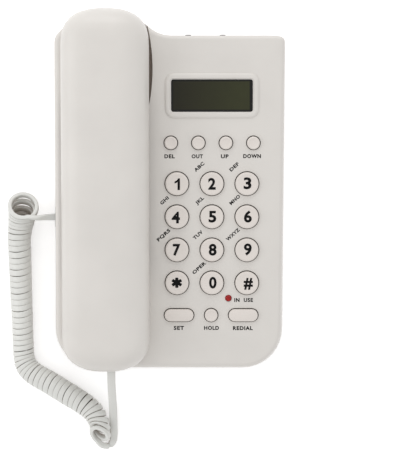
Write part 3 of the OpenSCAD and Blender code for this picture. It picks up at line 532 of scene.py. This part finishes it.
def words_mesh(words, bold, spacing=1.0):
    """Flat letters as one bmesh between z = -0.5 and 0.5, with their own sizes."""
    text = bpy.data.curves.new("words", "FONT")
    text.body = words
    text.offset = bold
    text.extrude = 0.5
    text.space_character = spacing
    text.resolution_u = 3
    made = add(bpy.data.objects.new("words", text))
    bpy.context.view_layer.update()
    mesh = bpy.data.meshes.new_from_object(made)
    bpy.data.objects.remove(made)
    bpy.data.curves.remove(text)
    shape = bmesh.new()
    shape.from_mesh(mesh)
    bpy.data.meshes.remove(mesh)
    bmesh.ops.remove_doubles(shape, verts=shape.verts, dist=1e-5)
    return shape


def reach(shape, i):
    """Lowest and highest of a shape's values on one axis."""
    values = [v.co[i] for v in shape.verts]
    return min(values), max(values)


# A capital's low and high edge at each boldness, and how far print stands out
CAP = {}
PRINT_T = 0.035
DECK = (DECK_ORIGIN, X, U, N)


def printed(name, words, centre, size, body, turn=0.0, bold=0.02, spacing=1.0, rise=None,
            plane=DECK, shape=None):
    """Print of that width and capital height, in millimetres, on a plane or a key's top."""
    if bold not in CAP:
        letter = words_mesh("H", bold)
        CAP[bold] = reach(letter, 1)
        letter.free()
    low, high = CAP[bold]
    if shape:
        low, high = reach(shape, 1)
    shape = shape or words_mesh(words, bold, spacing)
    left, right = reach(shape, 0)
    c, s = math.cos(turn), math.sin(turn)
    origin, across, up, out = plane
    for v in shape.verts:
        x = (v.co.x - (left + right) / 2) / (right - left) * size[0]
        y = (v.co.y - (low + high) / 2) / (high - low) * size[1]
        x, y = centre[0] + x * c - y * s, centre[1] + x * s + y * c
        n = (rise(x, y) if rise else 0) + (PRINT_T if v.co.z > 0 else -PRINT_T)
        v.co = origin + (across * x + up * y + out * n) * MM
    piece = finish_mesh(name, shape, smooth=False)
    dress(piece, INK)
    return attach(piece, body)


def sides(shape, outline):
    """An outline's corners at z = -0.5 and 0.5, with the faces between them."""
    ends = [[shape.verts.new((*p, z)) for p in outline] for z in (-0.5, 0.5)]
    for k in range(len(outline)):
        j = (k + 1) % len(outline)
        shape.faces.new((ends[0][k], ends[0][j], ends[1][j], ends[1][k]))
    return ends


def star_shape():
    """A heavy six-armed star."""
    shape = bmesh.new()
    outline = []
    for k in range(6):
        a = math.radians(30 + 60 * k)
        way, aside = Vector((math.cos(a), math.sin(a), 0)), Vector((-math.sin(a), math.cos(a), 0))
        for side in (-1, -0.72, 0.72, 1):
            corner = way * (2.3 if abs(side) == 1 else 2.65) + aside * (0.82 * side)
            outline.append(corner.xy)
        b = math.radians(60 + 60 * k)
        outline.append(Vector((math.cos(b), math.sin(b))) * 1.5)
    ends = sides(shape, outline)
    middles = [shape.verts.new(Z * z) for z in (-0.5, 0.5)]
    for ring, middle in zip(ends, middles):
        for k in range(len(ring)):
            shape.faces.new((ring[k], ring[(k + 1) % len(ring)], middle))
    return shape


# Height of a round key's rim, the radius of its top, and the top's dish as (share of that
# radius, drop), in millimetres
KEY_TOP, KEY_R = 2.0, 6.3
DISH = [(0, -0.38), (0.3, -0.34), (0.6, -0.22), (0.89, 0)]


def key_dish(centre, radius):
    """Height of a round key's hollowed top over the deck."""
    def rise(x, y):
        out = math.hypot(x - centre[0], y - centre[1]) / radius
        for (a, za), (b, zb) in zip(DISH, DISH[1:]):
            if out <= b:
                return KEY_TOP + za + (zb - za) * max(0, out - a) / (b - a)
        return KEY_TOP
    return rise


def one_shape():
    """A heavy figure one, its flag drawn out to the left."""
    outline = [(0.2, -3), (1.45, -3), (1.45, 3), (0.5, 3), (0.1, 2.3), (-0.5, 1.75), (-1.4, 1.4),
               (-1.4, 0.35), (-0.55, 0.6), (0.2, 1.1)]
    shape = bmesh.new()
    for ring in sides(shape, outline):
        shape.faces.new(ring).normal_update()
    bmesh.ops.triangulate(shape, faces=[f for f in shape.faces if len(f.verts) > 4])
    return shape


DIGIT_H, STAR_H = 6.35, 5.6
# Key, what is printed, how far it stands off the key's middle, and its width
DIGITS = [("1", one_shape, (0.2, -0.4), 2.9), ("2", "2", (0, -0.2), 4.1),
          ("3", "3", (0.3, 0.1), 4.2), ("4", "4", (-0.6, -0.5), 4.5), ("5", "5", (0.3, 0), 4.2),
          ("6", "6", (0.5, 0), 4.3), ("7", "7", (-0.2, 0), 4.1), ("8", "8", (0.4, 0), 4.3),
          ("9", "9", (0.5, 0.2), 4.3), ("star", star_shape, (-0.1, 0), 5.7),
          ("0", "0", (0.5, 0), 4.1), ("hash", "#", (0.8, 0), 5.0)]
for key, sign, off, width in DIGITS:
    own = sign() if callable(sign) else None
    printed("print_" + key, sign, beside("key_" + key, *off),
            (width, STAR_H if key == "star" else DIGIT_H), "key_" + key, bold=0.035,
            rise=key_dish(deck_middle("key_" + key), KEY_R), shape=own)

LETTER_H, WORD_H = 1.9, 2.15
SLOPE = math.radians(42)
for words, key, off, width in [("ABC", "2", (-6.9, 8.9), 6.6), ("DEF", "3", (-6.9, 8.9), 6.0),
                               ("GHI", "4", (-6.8, 8.6), 5.4), ("JKL", "5", (-6.7, 8.6), 5.3),
                               ("MNO", "6", (-6.6, 9.0), 6.8), ("PQRS", "7", (-7.3, 7.8), 8.8),
                               ("TUV", "8", (-7.6, 7.9), 6.2), ("WXYZ", "9", (-7.6, 8.1), 9.0),
                               ("OPER", "0", (-7.0, 7.9), 9.0)]:
    printed("letters_" + words.lower(), words, beside("key_" + key, *off), (width, LETTER_H),
            "base", turn=SLOPE, bold=0.04, spacing=1.1)
for words, node, off, width in [("DEL", "key_del", (-0.7, -7.6), 5.6),
                                ("OUT", "key_out", (-0.6, -7.6), 6.1),
                                ("UP", "key_up", (-0.6, -7.6), 4.2),
                                ("DOWN", "key_down", (-0.7, -7.5), 9.6),
                                ("SET", "key_set", (-0.1, -7.4), 5.6),
                                ("HOLD", "key_hold", (0.2, -7.4), 8.1),
                                ("REDIAL", "key_redial", (-0.2, -7.5), 10.8),
                                ("IN  USE", "call_lamp", (8.3, -1.1), 10.2)]:
    printed("word_" + words.replace(" ", "").lower(), words, beside(node, *off),
            (width, WORD_H), "base", bold=0.04, spacing=1.14)

# Words by the rear wall's sockets and switches, read from behind
WALL_LEAN = math.atan(1 / 35.2)
REAR = (Vector((0, 84.8 * MM, 8 * MM)), -X, Vector((0, -math.sin(WALL_LEAN), math.cos(WALL_LEAN))),
        Vector((0, math.cos(WALL_LEAN), math.sin(WALL_LEAN))))
for words, at, width in [("LINE", (-48.8, 20.5), 7.0), ("RINGER", (-30.8, 15.5), 9.5),
                         ("HI", (-35.3, 11.4), 2.6), ("LO", (-26.3, 11.4), 3.4),
                         ("DIAL", (-11.8, 15.5), 6.4), ("T", (-16, 11.4), 1.8),
                         ("P", (-7.6, 11.4), 1.7)]:
    printed("rear_" + words.lower(), words, at, (width, 1.9), "base", plane=REAR, bold=0.03,
            spacing=1.1)

# Sprung wires in the line socket, bent over at its mouth and running down into it
WIRE_PITCH, WIRE_R = 1.02 * MM, 0.22 * MM
jack_low, jack_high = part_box("line_jack")
wires = bmesh.new()
for k in range(4):
    x = (jack_low + jack_high).x / 2 + (k - 1.5) * WIRE_PITCH
    bend = [Vector((x, y * MM, z * MM)) for y, z in
            [(84.2, 20.6), (83.9, 21.0), (83.2, 21.15), (82.4, 20.9), (79.5, 19.6), (76.0, 18.0),
             (75.2, 17.8)]]
    rings = []
    for i, p in enumerate(bend):
        ahead = (bend[min(i + 1, len(bend) - 1)] - bend[max(i - 1, 0)]).normalized()
        over = ahead.cross(X)
        rings.append([wires.verts.new(p + (X * math.cos(a) + over * math.sin(a)) * WIRE_R)
                      for a in (math.pi * j / 4 for j in range(8))])
    skin(wires, rings)
contacts = dress(finish_mesh("line_contacts", wires), GOLD)
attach(contacts, "base")

# ------------------------------------------------------- floor, world, lamps

FLOOR_R = 8
FLOOR_GLOW = 0.45
WORLD_LIGHT, WORLD_SEEN = 0.84, 1.0


def shown(tree):
    """1 on the rays that show the background: camera, glossy and transmission."""
    rays = tree.nodes.new("ShaderNodeLightPath")
    value = rays.outputs["Is Camera Ray"]
    for name in ("Is Glossy Ray", "Is Transmission Ray"):
        most = tree.nodes.new("ShaderNodeMath")
        most.operation = "MAXIMUM"
        tree.links.new(value, most.inputs[0])
        tree.links.new(rays.outputs[name], most.inputs[1])
        value = most.outputs[0]
    return value


floor_mesh = bmesh.new()
bmesh.ops.create_circle(floor_mesh, cap_ends=True, radius=FLOOR_R, segments=96)
floor = finish_mesh("floor", floor_mesh, smooth=False)
ground = Nodes("floor_white")
ground.use("Base Color", ground.mix(ground.span(ground.noise(0.3, 2), 0, 1),
                                    colour("F4F4F4"), colour("F1F1F1")))
ground.use("Roughness", ground.span(ground.noise(0.2, 2), 0.85, 0.95))
glow = ground.new("Math", operation="MULTIPLY")
ground.link(shown(ground.tree), glow.inputs[0])
glow.inputs[1].default_value = FLOOR_GLOW
ground.use("Emission Strength", glow.outputs[0])
ground.set(Emission_Color=(1, 1, 1, 1))
dress(floor, ground.material)

world = bpy.data.worlds.new("studio")
bpy.context.scene.world = world
world.use_nodes = True
wt = world.node_tree
background = wt.nodes["Background"]
background.inputs["Color"].default_value = (1, 1, 1, 1)
strength = wt.nodes.new("ShaderNodeMapRange")
wt.links.new(shown(wt), strength.inputs["Value"])
strength.inputs["To Min"].default_value = WORLD_LIGHT
strength.inputs["To Max"].default_value = WORLD_SEEN
wt.links.new(strength.outputs["Result"], background.inputs["Strength"])


def lamp(name, place, aim, size, power):
    data = bpy.data.lights.new(name, "AREA")
    data.shape = "SQUARE"
    data.size = size
    data.energy = power
    obj = add(bpy.data.objects.new(name, data))
    obj.location = place
    obj.rotation_euler = (Vector(aim) - Vector(place)).to_track_quat("-Z", "Y").to_euler()
    return obj


lamp("key_lamp", (-1.08, 0.0, 0.65), (0, 0, 0.02), 0.8, 2.6)
lamp("fill_lamp", (0.0, 1.08, 0.65), (0, 0, 0.02), 0.8, 3.2)

bpy.context.scene.view_settings.view_transform = "Standard"
